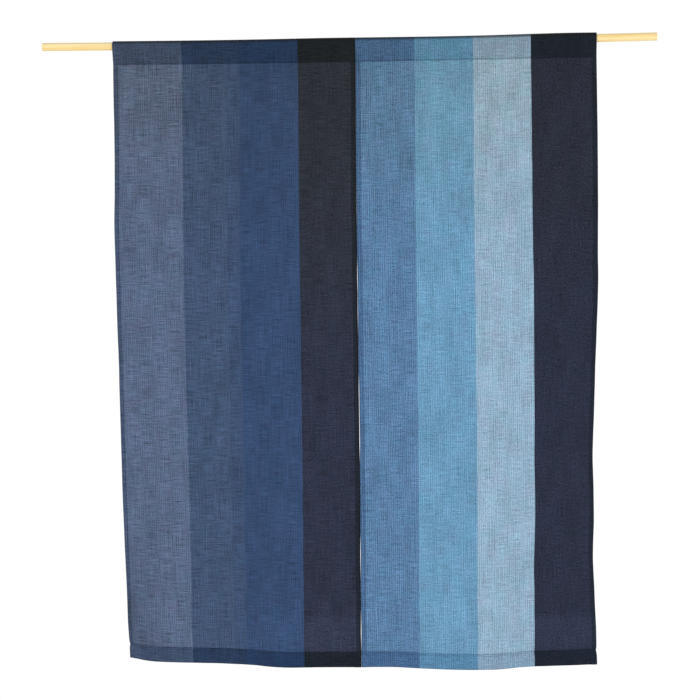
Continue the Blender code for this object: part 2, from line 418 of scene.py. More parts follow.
def ripples(panel, across, down):
    """Small uneven swells and the puckers along the stitches, which fade out towards the rod."""
    draw = np.random.default_rng(panel.seed)
    swell = np.zeros((len(down), len(across)))
    for _ in range(RIPPLES):
        turns = 2 * pi / draw.uniform(*RIPPLE_LENGTHS)
        tilt = draw.normal(0, RIPPLE_TILT)
        phase = draw.uniform(0, 2 * pi)
        along_across = turns * cos(tilt) * across[None, :]
        swell += np.sin(along_across + turns * sin(tilt) * down[:, None] + phase)
    swell *= RIPPLE_HEIGHT / RIPPLES**0.5
    hem_line = np.exp(-(((down - (DROP - HEM)) / PUCKER_REACH) ** 2))
    top_line = np.exp(-(((down - POCKET_DROP) / (2 * PUCKER_REACH)) ** 2))
    wander = draw.uniform(0, 2 * pi) + PUCKER_WANDER * np.sin(across / PUCKER_WANDER_LENGTH)
    pucker = np.outer(hem_line + top_line, np.sin(2 * pi * across / PUCKER_LENGTH + wander))
    fade = np.clip((down - POCKET_DROP) / RIPPLE_FREE, 0, 1) ** 0.5
    return (swell + PUCKER_HEIGHT * pucker) * fade[:, None]


def cloth_forward(panel, across, down):
    """How far the cloth stands forward, in a row for each depth and a column for each distance."""
    table = np.array(panel.waves)
    at_levels = smooth_curve(across, table[:, 0], table[:, 1:5]).T
    at_seam = np.zeros_like(at_levels[:1])
    levels = [POCKET_DROP, UPPER, MIDDLE, LOWER, DROP]
    waves = smooth_curve(down, levels, np.concatenate([at_seam, at_levels]))
    return waves + ripples(panel, across, down)


def hang(panel, across, down):
    """Hung places of the flat cloth's points, as an array of rows by columns by x, y and z."""
    fine = np.linspace(0, panel.width, HANG_STEPS)
    forward = cloth_forward(panel, fine, down)
    run = np.sqrt(np.maximum(np.diff(fine) ** 2 - np.diff(forward, axis=1) ** 2, 0))
    reach = np.concatenate([np.zeros((len(down), 1)), np.cumsum(run, axis=1)], axis=1)
    reach = np.array([np.interp(across, fine, row) for row in reach])
    slit, edge = np.array(SLIT), np.array(panel.edge)
    middle = smooth_curve(down, slit[:, 0], slit[:, 1])
    half_gap = np.interp(down, slit[:, 0], slit[:, 2]) / 2
    stray = np.outer(smooth_curve(down, edge[:, 0], edge[:, 1]), (across / panel.width) ** 2)
    x = middle[:, None] + panel.side * (half_gap[:, None] + reach + stray)
    y = -cloth_forward(panel, across, down)
    table = np.array(panel.waves)
    lift = np.outer((down / DROP) ** 2, smooth_curve(across, table[:, 0], table[:, 5]))
    z = rod_height(x) - down[:, None] + lift
    return np.stack([x, y, z], axis=-1)


def unit(vectors):
    return vectors / np.linalg.norm(vectors, axis=-1, keepdims=True)


def hung_frame(panel, across, down):
    """Hung places, and there the unit directions towards the cloth's back and down the cloth."""
    probe = 0.0008
    lo_a = np.clip(across - probe, 0, panel.width)
    hi_a = np.clip(across + probe, 0, panel.width)
    lo_d = np.clip(down - probe, POCKET_DROP, DROP)
    hi_d = np.clip(down + probe, POCKET_DROP, DROP)
    outward = unit(hang(panel, hi_a, down) - hang(panel, lo_a, down)) * panel.side
    downward = unit(hang(panel, across, hi_d) - hang(panel, across, lo_d))
    back = unit(np.cross(outward, downward))
    return hang(panel, across, down), back, downward


def turned_columns(width):
    """Columns from one side hem's inner edge, round both edges, to the other's.

    Returns each column's distance from the slit as it hangs, its turn from 0 on the face to 1
    behind it, and its distance on the cloth laid open, where the turned parts lie outside."""
    half, rim = LAYER / 2, (LAYER + THICKNESS) / 2
    hem = np.linspace(SIDE_HEM + HEM_TUCK, rim, SIDE_HEM_STEPS)
    bend = np.linspace(pi, 0, FOLD_STEPS + 1)[1:-1]
    bend_across, bend_turn = rim - half * np.sin(bend), (1 - np.cos(bend)) / 2
    inner = np.linspace(SIDE_HEM, width / 2, int(width / 2 / CLOTH_STEP))
    across = np.concatenate([hem, bend_across, [rim, SIDE_HEM / 2], inner])
    turn = np.concatenate([np.ones(len(hem)), bend_turn, np.zeros(2 + len(inner))])
    laid_open = np.concatenate([-hem, rim - bend_turn * 2 * rim, [rim, SIDE_HEM / 2], inner])
    mirrored = slice(-2, None, -1)
    return (
        np.concatenate([across, width - across[mirrored]]),
        np.concatenate([turn, turn[mirrored]]),
        np.concatenate([laid_open, width - laid_open[mirrored]]),
    )


def pocket_profile():
    """The pocket's line from the front seam over the rod to the back seam, about the rod's axis.

    Returns the points as y and z, and the unit directions into the pocket."""
    radius = ROD_RADIUS + POCKET_CLEARANCE + THICKNESS / 2
    touch = acos(radius / POCKET_DROP)
    turns = np.linspace(touch, 2 * pi - touch, POCKET_ARC_STEPS + 1)
    over = np.stack([-radius * np.sin(turns), -radius * np.cos(turns)], axis=-1)
    t = np.linspace(0, 1, POCKET_LINE_STEPS + 1)[:, None]
    belly = POCKET_SLACK * np.sin(pi * t) * np.array([-1, 0])
    front = (1 - t) * np.array([0, -POCKET_DROP]) + t * over[0] + belly
    back = (1 - t) * over[-1] + t * np.array([LAYER, -POCKET_DROP]) - belly
    points = np.concatenate([front[1:-1], over, back[1:]])
    along = unit(np.gradient(points, axis=0))
    inward = np.stack([along[:, 1], -along[:, 0]], axis=-1)
    return points, inward


def hem_rows(panel, across, turn):
    """Rows of the bottom hem's turned layer and of its fold, with their distances on the cloth."""
    at_side = np.minimum(across, panel.width - across) <= SIDE_HEM + HEM_TUCK
    gap = (LAYER * np.where(at_side, CORNER_LAYERS, 1.0))[None, :, None]
    side_turn = (turn * LAYER)[None, :, None]
    fold = DROP - FOLD_DEPTH * LAYER / 2 - THICKNESS / 2
    down = np.linspace(DROP - HEM - HEM_TUCK, fold, HEM_STEPS + 1)
    places, back, _ = hung_frame(panel, across, down)
    rows = [places + back * (gap - side_turn)]
    distances = [2 * fold - down]
    base, back, downward = hung_frame(panel, across, np.array([fold]))
    for angle in np.linspace(pi, 0, FOLD_STEPS + 2)[1:-1]:
        depth = FOLD_DEPTH * gap / 2 * sin(angle)
        out = back * gap / 2 * (1 - cos(angle)) + downward * depth
        wrong_side = back * cos(angle) - downward * sin(angle)
        rows.append(base + out + wrong_side * side_turn * FOLD_SIDE_SHARE)
        distances.append([fold + LAYER / 2 * angle / pi])
    return rows, distances, fold


def pocket_rows(panel, across, turn, seam_x):
    """Rows of the pocket over the rod and of its tail behind the seam, with their distances."""
    side_turn = (turn * LAYER)[:, None]
    points, inward = pocket_profile()
    rise = np.array(panel.rise)
    rise = smooth_curve(across, rise[:, 0], rise[:, 1])
    steps = np.diff(np.concatenate([[[0, -POCKET_DROP]], points]), axis=0)
    distances = POCKET_DROP - np.cumsum(np.linalg.norm(steps, axis=1))
    rows = []
    for (y, z), (in_y, in_z) in zip(points, inward):
        height = rod_height(seam_x) + z + rise * max(z / points[:, 1].max(), 0.0)
        place = np.stack([seam_x, np.full_like(seam_x, y), height], axis=-1)
        rows.append((place + np.array([0, in_y, in_z]) * side_turn)[None])
    tail = np.linspace(0, HEM_TUCK, TAIL_STEPS)[1:]
    places, back, _ = hung_frame(panel, across, POCKET_DROP + tail)
    rows.append(places + back * LAYER)
    return rows, [distances, distances[-1] - tail]


def panel_surface(panel):
    """The whole cloth of a panel, in rows from the turned hem round its fold and up to the pocket.

    Returns the places, and the columns' and the rows' distances on the cloth laid open."""
    across, turn, laid_open = turned_columns(panel.width)
    hem, hem_distances, fold = hem_rows(panel, across, turn)
    steps = int(round((fold - POCKET_DROP) / CLOTH_STEP))
    down = np.linspace(fold, POCKET_DROP, steps + 1)
    places, back, _ = hung_frame(panel, across, down)
    face = places + back * (turn * LAYER)[None, :, None]
    pocket, pocket_distances = pocket_rows(panel, across, turn, places[-1, :, 0])
    rows = np.concatenate(hem + [face] + pocket)
    return rows, laid_open, np.concatenate(hem_distances + [down] + pocket_distances)


def linked(name, data):
    """A new object of the given mesh, lamp or camera, in the scene."""
    thing = bpy.data.objects.new(name, data)
    bpy.context.scene.collection.objects.link(thing)
    return thing


def made_mesh(thing, name):
    """A plain mesh of what the object shows, in a new object, and the old one removed."""
    graph = bpy.context.evaluated_depsgraph_get()
    mesh = bpy.data.meshes.new_from_object(thing.evaluated_get(graph))
    bpy.data.objects.remove(thing)
    mesh.name = name
    return linked(name, mesh)


def woven_place(panel, laid_open, along):
    """Where each point lies between the stripes, which drift sideways towards the hem."""
    edges = np.cumsum([0.0] + [stripe.width for stripe in panel.stripes])
    drifts = [0.0] + [stripe.drift for stripe in panel.stripes]
    drift = np.interp(laid_open, edges, drifts)
    depth = np.clip(np.where(along > DROP, 2 * DROP - along, along), 0, DROP) / DROP
    return laid_open[None, :] - np.outer(depth, drift)


def build_cloth(panel):
    """One panel's sheet with its turned hems and pocket, as thick as the cloth."""
    places, laid_open, along = panel_surface(panel)
    count, width = places.shape[:2]
    bm = bmesh.new()
    grid = [[bm.verts.new(p) for p in row] for row in places]
    for upper, lower in zip(grid, grid[1:]):
        for i in range(width - 1):
            corners = (upper[i], upper[i + 1], lower[i + 1], lower[i])
            bm.faces.new(corners if panel.side < 0 else corners[::-1])
    mesh = bpy.data.meshes.new(panel.name)
    bm.to_mesh(mesh)
    bm.free()
    on_cloth = np.zeros((count, width, 3))
    on_cloth[..., 0] = laid_open[None, :]
    on_cloth[..., 1] = along[:, None]
    on_cloth[..., 2] = woven_place(panel, laid_open, along)
    stored = mesh.attributes.new("cloth", "FLOAT_VECTOR", "POINT")
    stored.data.foreach_set("vector", on_cloth.ravel())
    cloth = linked(f"{panel.name}_sheet", mesh)
    solid = cloth.modifiers.new("thickness", "SOLIDIFY")
    solid.thickness = THICKNESS
    solid.offset = 0
    cloth = made_mesh(cloth, panel.name)
    cloth.data.shade_smooth()
    return cloth


def linear(colour):
    """Linear red, green and blue of a colour given from 0 to 255."""
    shares = [c / 255 for c in colour]
    return [s / 12.92 if s <= 0.04045 else ((s + 0.055) / 1.055) ** 2.4 for s in shares]


class Nodes:
    """Makes a material's nodes and their links in short lines."""

    def __init__(self, name):
        self.material = bpy.data.materials.new(name)
        self.material.use_nodes = True
        self.tree = self.material.node_tree
        self.shader = self.tree.nodes["Principled BSDF"]

    def put(self, socket, value):
        if isinstance(value, bpy.types.NodeSocket):
            self.tree.links.new(value, socket)
        elif value is not None:
            socket.default_value = value

    def node(self, kind, inputs=(), **settings):
        made = self.tree.nodes.new(kind)
        for key, value in settings.items():
            setattr(made, key, value)
        for key, value in dict(inputs).items():
            self.put(made.inputs[key], value)
        return made

    def math(self, operation, a, b=None, c=None):
        made = self.node("ShaderNodeMath", operation=operation)
        for socket, value in zip(made.inputs, (a, b, c)):
            self.put(socket, value)
        return made.outputs[0]

    def mix(self, share, a, b, blend="MIX"):
        made = self.node("ShaderNodeMix", data_type="RGBA", blend_type=blend)
        self.put(made.inputs["Factor"], share)
        self.put(made.inputs["A"], a)
        self.put(made.inputs["B"], b)
        return made.outputs["Result"]

    def noise(self, x, y, z=0.0, detail=2.0):
        place = self.node("ShaderNodeCombineXYZ", {"X": x, "Y": y, "Z": z}).outputs[0]
        inputs = {"Vector": place, "Scale": 1.0, "Detail": detail, "Roughness": 0.5}
        return self.node("ShaderNodeTexNoise", inputs).outputs["Fac"]

    def spread(self, value, low, high, to_low=0.0, to_high=1.0):
        inputs = {"Value": value, "From Min": low, "From Max": high}
        inputs.update({"To Min": to_low, "To Max": to_high})
        return self.node("ShaderNodeMapRange", inputs).outputs["Result"]

    def surface(self, colour, roughness, gloss, height, bump, depth):
        """The finished material, with the height shown as a bump of the given strength and depth."""
        self.put(self.shader.inputs["Base Color"], colour)
        self.put(self.shader.inputs["Roughness"], roughness)
        self.shader.inputs["Specular IOR Level"].default_value = gloss
        inputs = {"Height": height, "Strength": bump, "Distance": depth}
        self.put(self.shader.inputs["Normal"], self.node("ShaderNodeBump", inputs).outputs["Normal"])
        return self.material


def dye(colour):
    """The colour that shows as the given one, from 0 to 255, under the scene's lamps."""
    return [max(c - GLOSS_LIFT, 0.0) / EXPOSURE for c in linear(colour)] + [1.0]


def stripe_colours(nodes, place, panel):
    """The stripes' colours in one layer and in two, and their unevenness, with sharp boundaries."""
    first = panel.stripes[0]
    single, double, uneven = dye(first.single), dye(first.double), first.uneven
    edge = 0.0
    for before, stripe in zip(panel.stripes, panel.stripes[1:]):
        edge += before.width
        past = nodes.math("GREATER_THAN", place, edge)
        single = nodes.mix(past, single, dye(stripe.single))
        double = nodes.mix(past, double, dye(stripe.double))
        uneven = nodes.math("MULTIPLY_ADD", past, stripe.uneven - before.uneven, uneven)
    return single, double, uneven


def near(nodes, value, middle, reach, depth, full=0.0):
    """The depth where the value is at the middle, falling to 0 at the reach to either side."""
    away = nodes.math("ABSOLUTE", nodes.math("SUBTRACT", value, middle))
    return nodes.spread(away, full, reach, depth, 0.0)


def layer_shares(nodes, across, along, panel):
    """How much of the double cloth's colour shows, and the painted shade at its folds, edges and corner.
    """
    pocket_turn, hem_turn = POCKET_DROP + HEM_TUCK, DROP - HEM - HEM_TUCK
    in_pocket = nodes.math("LESS_THAN", along, pocket_turn)
    in_hem = nodes.math("GREATER_THAN", along, hem_turn)
    at_slit = nodes.math("LESS_THAN", across, SIDE_HEM_SHOWS)
    at_side = nodes.math("GREATER_THAN", across, panel.width - SIDE_HEM_SHOWS)
    ends = nodes.math("MAXIMUM", in_pocket, in_hem)
    sides = nodes.math("MULTIPLY", nodes.math("MAXIMUM", at_slit, at_side), SIDE_HEM_DEPTH)
    doubled = nodes.math("MAXIMUM", ends, sides)
    points, _ = pocket_profile()
    steps = np.diff(np.concatenate([[[0, -POCKET_DROP]], points]), axis=0)
    over_rod = POCKET_DROP - float(np.sum(np.linalg.norm(steps, axis=1))) / 2
    # painted shade in the lower outer corner, where the cloth turns away from the lamps
    corner = near(nodes, across, panel.width, CORNER_SHADE_REACH, panel.corner_shade, CORNER_SHADE_FULL)
    corner = nodes.math("MULTIPLY", corner, nodes.spread(along, *CORNER_SHADE_DOWN))
    corner = nodes.math("MULTIPLY", corner, nodes.math("SUBTRACT", 1.0, in_hem))
    shade = near(nodes, along, over_rod, TOP_SHADE_REACH, TOP_SHADE, TOP_SHADE_FULL)
    for other in (
        near(nodes, along, DROP, EDGE_SHADE_REACH, EDGE_SHADE),
        near(nodes, across, 0.0, SLIT_SHADE_REACH, panel.slit_shade, SLIT_SHADE_FULL),
        near(nodes, across, panel.width, EDGE_SHADE_REACH, EDGE_SHADE),
        near(nodes, along, pocket_turn - TURN_SHADE_INSET, TURN_SHADE_REACH, TURN_SHADE),
        near(nodes, along, hem_turn + TURN_SHADE_INSET, TURN_SHADE_REACH, TURN_SHADE),
        corner,
    ):
        shade = nodes.math("MAXIMUM", shade, other)
    return doubled, shade


def mottle(nodes, across, along, size, seed, detail=2.0):
    """Noise from 0 to 1, with marks of the given size across and along the cloth."""
    x = nodes.math("MULTIPLY", across, 1 / size[0])
    y = nodes.math("MULTIPLY", along, 1 / size[1])
    return nodes.noise(x, y, seed, detail)


def speckle(nodes, across, along, size, seed):
    """Plainer noise about 0, with marks of the given size across and along the cloth."""
    return nodes.math("SUBTRACT", mottle(nodes, across, along, size, seed, detail=1.0), 0.5)


def thread_tone(nodes, across, along, woven, panel, black):
    """Uneven threads: specks, streaks both ways, and runs of heavier warp threads in patches."""
    seed = float(panel.seed)
    shares = zip(panel.weave, BLACK_WEAVE)
    shows = Weave(*(nodes.spread(black, 0.0, 1.0, whole, whole * share) for whole, share in shares))
    specks = speckle(nodes, across, along, SPECK_SIZE, seed + 2.0)
    warp = speckle(nodes, across, along, (STREAK_WIDTH, STREAK_LENGTH), seed)
    weft = speckle(nodes, across, along, (WEFT_STREAK_LENGTH, STREAK_WIDTH), seed + 5.0)
    patches = speckle(nodes, across, along, (PATCH_SIZE, PATCH_SIZE), seed + 9.0)
    sway = speckle(nodes, across, along, RIB_SWAY_SIZE, seed + 13.0)
    rib_place = nodes.math("MULTIPLY_ADD", sway, RIB_SWAY, woven)
    ribs = nodes.math("SINE", nodes.math("MULTIPLY", rib_place, 2 * pi / RIB_PITCH))
    ribs, warp, weft = (
        nodes.math("MULTIPLY", threads, nodes.spread(patches, -PATCH_SPREAD, PATCH_SPREAD, *shown))
        for threads, shown in (
            (ribs, RIBS_IN_PATCHES),
            (warp, WARP_IN_PATCHES),
            (weft, WEFT_IN_PATCHES),
        )
    )
    tone = nodes.math("MULTIPLY", specks, shows.specks)
    tone = nodes.math("MULTIPLY_ADD", warp, shows.warp, tone)
    tone = nodes.math("MULTIPLY_ADD", weft, shows.weft, tone)
    return nodes.math("MULTIPLY_ADD", ribs, shows.ribs, tone)


def weave_material(panel):
    """Plain weave in woven stripes: uneven threads both ways, darker where the cloth is double."""
    nodes = Nodes(f"{panel.name}_weave")
    place = nodes.node("ShaderNodeAttribute", attribute_name="cloth").outputs["Vector"]
    split = nodes.node("ShaderNodeSeparateXYZ", {"Vector": place})
    across, along, woven = split.outputs["X"], split.outputs["Y"], split.outputs["Z"]
    seed = float(panel.seed)

    warp_wander = mottle(nodes, across, along, WANDER_SIZE, 0.0)
    weft_wander = mottle(nodes, across, along, WANDER_SIZE[::-1], 0.0)
    warp_place = nodes.math("MULTIPLY_ADD", warp_wander, THREAD_WANDER, woven)
    weft_place = nodes.math("MULTIPLY_ADD", weft_wander, THREAD_WANDER, along)
    over = nodes.math("SINE", nodes.math("MULTIPLY", warp_place, pi / THREAD_PITCH))
    under = nodes.math("SINE", nodes.math("MULTIPLY", weft_place, pi / THREAD_PITCH))
    crossing = nodes.math("MULTIPLY", over, under)

    stepped = nodes.math("MULTIPLY_ADD", over, THREAD_STEP, woven)
    single, double, uneven = stripe_colours(nodes, stepped, panel)
    doubled, shade = layer_shares(nodes, across, along, panel)
    # the double cloth's colour carries painted shade, as less light shines through two layers
    colour = nodes.mix(doubled, single, double)
    weft = nodes.mix(1.0, colour, WEFT_SHADE, blend="MULTIPLY")
    on_top = nodes.spread(crossing, -CROSSING_REACH, CROSSING_REACH, -WEFT_SHOW, WEFT_SHOW)
    woven_colour = nodes.mix(on_top, colour, weft)
    woven_colour.node.clamp_factor = False
    thread = nodes.math("ABSOLUTE", crossing)

    black = nodes.spread(single, *BLACK_DYES, 1.0, 0.0)
    streaks = thread_tone(nodes, across, along, warp_place, panel, black)
    tone = nodes.math("MULTIPLY_ADD", streaks, uneven, 1.0)
    cloudy = mottle(nodes, across, along, MOTTLE_SIZE, seed + 9.0)
    cloudy = nodes.spread(cloudy, *MOTTLE_SPREAD, 1 - MOTTLE, 1 + MOTTLE)
    tone = nodes.math("MULTIPLY", tone, cloudy)
    tone = nodes.math("MULTIPLY", tone, nodes.math("SUBTRACT", 1.0, shade))
    lighter_band = near(nodes, along, BOTTOM_LIFT_PLACE, BOTTOM_LIFT_REACH, BOTTOM_LIFT, BOTTOM_LIFT_FULL)
    lighter_band = nodes.math("MULTIPLY", lighter_band, nodes.spread(single, *LIFTED_DYES, 1.0, 0.0))
    tone = nodes.math("MULTIPLY", tone, nodes.math("ADD", 1.0, lighter_band))
    tone = nodes.math("MULTIPLY", tone, nodes.spread(thread, 0.0, GAP_REACH, GAP_SHADE, 1.0))
    toned = nodes.node("ShaderNodeVectorMath", {0: woven_colour}, operation="SCALE")
    nodes.put(toned.inputs["Scale"], tone)

    # painted shade: darker and browner colours towards the top of the cloth
    fade = nodes.spread(along, 0.0, TOP_SHADE_TINT_REACH)
    fade.node.interpolation_type = "SMOOTHSTEP"
    top_shade_tint = nodes.mix(fade, panel.fade, (1.0, 1.0, 1.0, 1.0))
    final = nodes.mix(1.0, toned.outputs[0], top_shade_tint, blend="MULTIPLY")
    browner = nodes.spread(along, *BLACK_FADE_REACH, 1.0, 0.0)
    browner = nodes.math("MULTIPLY", browner, black)
    final = nodes.mix(browner, final, nodes.mix(1.0, final, panel.black_fade, blend="MULTIPLY"))
    hue = nodes.spread(mottle(nodes, across, along, HUE_SIZE, seed + 14.0), *HUE_SPREAD)
    final = nodes.mix(1.0, final, nodes.mix(hue, HUE_COOL, HUE_WARM), blend="MULTIPLY")

    nodes.shader.inputs["Sheen Weight"].default_value = SHEEN
    nodes.shader.inputs["Sheen Roughness"].default_value = SHEEN_ROUGHNESS
    return nodes.surface(
        colour=final,
        roughness=nodes.spread(streaks, -0.4, 0.4, *STREAK_ROUGHNESS),
        gloss=0.12,
        height=nodes.math("MULTIPLY_ADD", streaks, STREAK_HEIGHT, thread),
        bump=0.4,
        depth=0.00015,
    )


def thread_material():
    """Dark twisted sewing thread."""
    nodes = Nodes("sewing_thread")
    place = nodes.node("ShaderNodeTexCoord").outputs["Object"]
    inputs = {"Vector": place, "Scale": THREAD_TWIST, "Detail": 1.0}
    twist = nodes.node("ShaderNodeTexNoise", inputs).outputs["Fac"]
    colour = nodes.mix(twist, THREAD_DARK, THREAD_LIGHT)
    return nodes.surface(colour, roughness=0.7, gloss=0.2, height=twist, bump=0.3, depth=0.0001)


def wood(colour):
    """The wood's colour that shows as the given one, from 0 to 255, under the scene's lamps."""
    return [c / ROD_EXPOSURE for c in linear(colour)] + [1.0]


def rod_material():
    """Pale yellow wood with fine grain along the rod, faint rings on its cut ends, painted shade on top.
    """
    nodes = Nodes("rod_wood")
    place = nodes.node("ShaderNodeTexCoord").outputs["Object"]
    split = nodes.node("ShaderNodeSeparateXYZ", {"Vector": place})
    x, y, z = (split.outputs[axis] for axis in "XYZ")
    broad, fine = (
        nodes.noise(
            nodes.math("MULTIPLY", x, marks_along),
            nodes.math("MULTIPLY", y, marks_across),
            nodes.math("MULTIPLY", z, marks_across),
            detail=detail,
        )
        for (marks_along, marks_across), detail in ((GRAIN, 3.0), (FINE_GRAIN, 2.0))
    )
    grain = nodes.math("MULTIPLY", broad, 1 - FINE_GRAIN_SHARE)
    grain = nodes.math("MULTIPLY_ADD", fine, FINE_GRAIN_SHARE, grain)
    side = nodes.mix(nodes.spread(grain, *GRAIN_SPREAD), wood(WOOD_LIGHT), wood(WOOD_DARK))
    # painted shade along the rod's top, measured from its sagging centre line
    bend = nodes.math("MULTIPLY", nodes.math("MULTIPLY", x, x), -ROD_SAG / ROD_BEND**2)
    above = nodes.math("ADD", nodes.math("ADD", z, ROD_SAG), bend)
    top_shaded = nodes.node("ShaderNodeVectorMath", {0: side}, operation="SCALE")
    top = nodes.spread(above, *(r * ROD_RADIUS for r in ROD_TOP_REACH), 1.0, ROD_TOP_SHADE)
    nodes.put(top_shaded.inputs["Scale"], top)
    side = top_shaded.outputs[0]
    square_y = nodes.math("MULTIPLY", y, y)
    from_axis = nodes.math("SQRT", nodes.math("MULTIPLY_ADD", z, z, square_y))
    rings = nodes.math("SINE", nodes.math("MULTIPLY", from_axis, 2 * pi / RING_PITCH))
    end = nodes.mix(nodes.spread(rings, -1.0, 1.0), wood(RING_LIGHT), wood(RING_DARK))
    at_end = nodes.math("GREATER_THAN", nodes.math("ABSOLUTE", x), ROD_LENGTH / 2 - RING_DEPTH)
    return nodes.surface(
        colour=nodes.mix(at_end, side, end),
        roughness=nodes.spread(grain, 0.3, 0.7, *WOOD_ROUGHNESS),
        gloss=0.35,
        height=grain,
        bump=0.25,
        depth=0.0002,
    )


def build_rod():
    """The rod as rings along its sagging line, a little uneven, with softened rims."""
    half = ROD_LENGTH / 2
    inner = np.linspace(-half + ROD_END_ROUND, half - ROD_END_ROUND, ROD_RINGS)
    draw = np.random.default_rng(ROD_SEED)
    stations = [(-half + inset * ROD_END_ROUND, share) for inset, share in ROD_RIM]
    stations += [(x, 1.0) for x in inner]
    stations += [(half - inset * ROD_END_ROUND, share) for inset, share in reversed(ROD_RIM)]
    turns = np.linspace(0, 2 * pi, ROD_SIDES, endpoint=False)
    phases = draw.uniform(0, 2 * pi, 4)
    bm = bmesh.new()
    rings = []
    for x, share in stations:
        oval = np.sin(2 * turns + phases[0] + 3 * x) + np.sin(3 * turns + phases[1] - 5 * x)
        sway = sin(11 * x + phases[2]) + sin(23 * x + phases[3])
        radius = (ROD_RADIUS - 2 * ROD_UNEVEN + ROD_UNEVEN * (oval + 0.5 * sway) / 2) * share
        centre = float(rod_height(x))
        rings.append(
            [
                bm.verts.new((x, r * cos(a), centre + r * sin(a)))
                for a, r in zip(turns, radius)
            ]
        )
    for ring, following in zip(rings, rings[1:]):
        for i in range(ROD_SIDES):
            j = (i + 1) % ROD_SIDES
            bm.faces.new((ring[i], ring[j], following[j], following[i]))
    for ring in (rings[0], rings[-1]):
        centre = bm.verts.new(sum((v.co for v in ring), Vector()) / ROD_SIDES)
        for i in range(ROD_SIDES):
            bm.faces.new((centre, ring[i], ring[(i + 1) % ROD_SIDES]))
    bmesh.ops.recalc_face_normals(bm, faces=bm.faces)
    mesh = bpy.data.meshes.new("rod_round")
    bm.to_mesh(mesh)
    bm.free()
    mesh.shade_smooth()
    mesh.set_sharp_from_angle(angle=ROD_SHARP)
    return linked("rod_round", mesh)


def stitch_tree():
    """Nodes that lay a row of short arched stitches along each line of the mesh they are given."""
    tree = bpy.data.node_groups.new("stitch_row", "GeometryNodeTree")
    sockets = tree.interface
    sockets.new_socket("Geometry", in_out="INPUT", socket_type="NodeSocketGeometry")
    for name, default in (
        ("Spacing", STITCH_SPACING),
        ("Stitch Length", STITCH_LENGTH),
        ("Thread Radius", THREAD_RADIUS),
        ("Turn", 0.0),
    ):
        sockets.new_socket(name, in_out="INPUT", socket_type="NodeSocketFloat").default_value = default
    sockets.new_socket("Seed", in_out="INPUT", socket_type="NodeSocketInt").default_value = 1
    sockets.new_socket("Thread", in_out="INPUT", socket_type="NodeSocketMaterial")
    sockets.new_socket("Geometry", in_out="OUTPUT", socket_type="NodeSocketGeometry")

    def node(kind, **settings):
        made = tree.nodes.new(kind)
        for key, value in settings.items():
            setattr(made, key, value)
        return made

    link = tree.links.new
    given = node("NodeGroupInput").outputs
    lines = node("GeometryNodeMeshToCurve")
    link(given["Geometry"], lines.inputs["Mesh"])
    points = node("GeometryNodeCurveToPoints", mode="LENGTH")
    link(lines.outputs["Curve"], points.inputs["Curve"])
    link(given["Spacing"], points.inputs["Length"])

    arch = node("GeometryNodeCurveQuadraticBezier")
    arch.inputs["Resolution"].default_value = STITCH_POINTS
    for socket, lengths, radii in (
        ("Start", -0.5, STITCH_SINK),
        ("Middle", 0.0, STITCH_RISE),
        ("End", 0.5, STITCH_SINK),
    ):
        place = node("ShaderNodeCombineXYZ")
        for axis, size, share in (("X", "Stitch Length", lengths), ("Z", "Thread Radius", radii)):
            times = node("ShaderNodeMath", operation="MULTIPLY")
            link(given[size], times.inputs[0])
            times.inputs[1].default_value = share
            link(times.outputs[0], place.inputs[axis])
        link(place.outputs[0], arch.inputs[socket])
    ring = node("GeometryNodeCurvePrimitiveCircle", mode="RADIUS")
    ring.inputs["Resolution"].default_value = THREAD_SIDES
    link(given["Thread Radius"], ring.inputs["Radius"])
    stitch = node("GeometryNodeCurveToMesh")
    link(arch.outputs["Curve"], stitch.inputs["Curve"])
    link(ring.outputs["Curve"], stitch.inputs["Profile Curve"])
    stitch.inputs["Fill Caps"].default_value = True

    outward = node("GeometryNodeInputNamedAttribute", data_type="FLOAT_VECTOR")
    outward.inputs["Name"].default_value = "outward"
    along = node("FunctionNodeAlignRotationToVector", axis="X")
    link(points.outputs["Tangent"], along.inputs["Vector"])
    upright = node("FunctionNodeAlignRotationToVector", axis="Z", pivot_axis="X")
    link(along.outputs[0], upright.inputs["Rotation"])
    link(outward.outputs["Attribute"], upright.inputs["Vector"])
    wobble = node("FunctionNodeRandomValue", data_type="FLOAT")
    wobble.inputs[2].default_value = -STITCH_WOBBLE
    wobble.inputs[3].default_value = STITCH_WOBBLE
    link(given["Seed"], wobble.inputs["Seed"])
    turn = node("ShaderNodeMath", operation="ADD")
    link(given["Turn"], turn.inputs[0])
    link(wobble.outputs[1], turn.inputs[1])
    turn_xyz = node("ShaderNodeCombineXYZ")
    link(turn.outputs[0], turn_xyz.inputs["Z"])
    turned = node("FunctionNodeRotateRotation", rotation_space="LOCAL")
    link(upright.outputs[0], turned.inputs["Rotation"])
    link(turn_xyz.outputs[0], turned.inputs["Rotate By"])

    laid = node("GeometryNodeInstanceOnPoints")
    link(points.outputs["Points"], laid.inputs["Points"])
    link(stitch.outputs["Mesh"], laid.inputs["Instance"])
    link(turned.outputs[0], laid.inputs["Rotation"])
    real = node("GeometryNodeRealizeInstances")
    link(laid.outputs["Instances"], real.inputs["Geometry"])
    finish = node("GeometryNodeSetMaterial")
    link(real.outputs["Geometry"], finish.inputs["Geometry"])
    link(given["Thread"], finish.inputs["Material"])
    shown = node("NodeGroupOutput")
    link(finish.outputs["Geometry"], shown.inputs["Geometry"])
    return tree


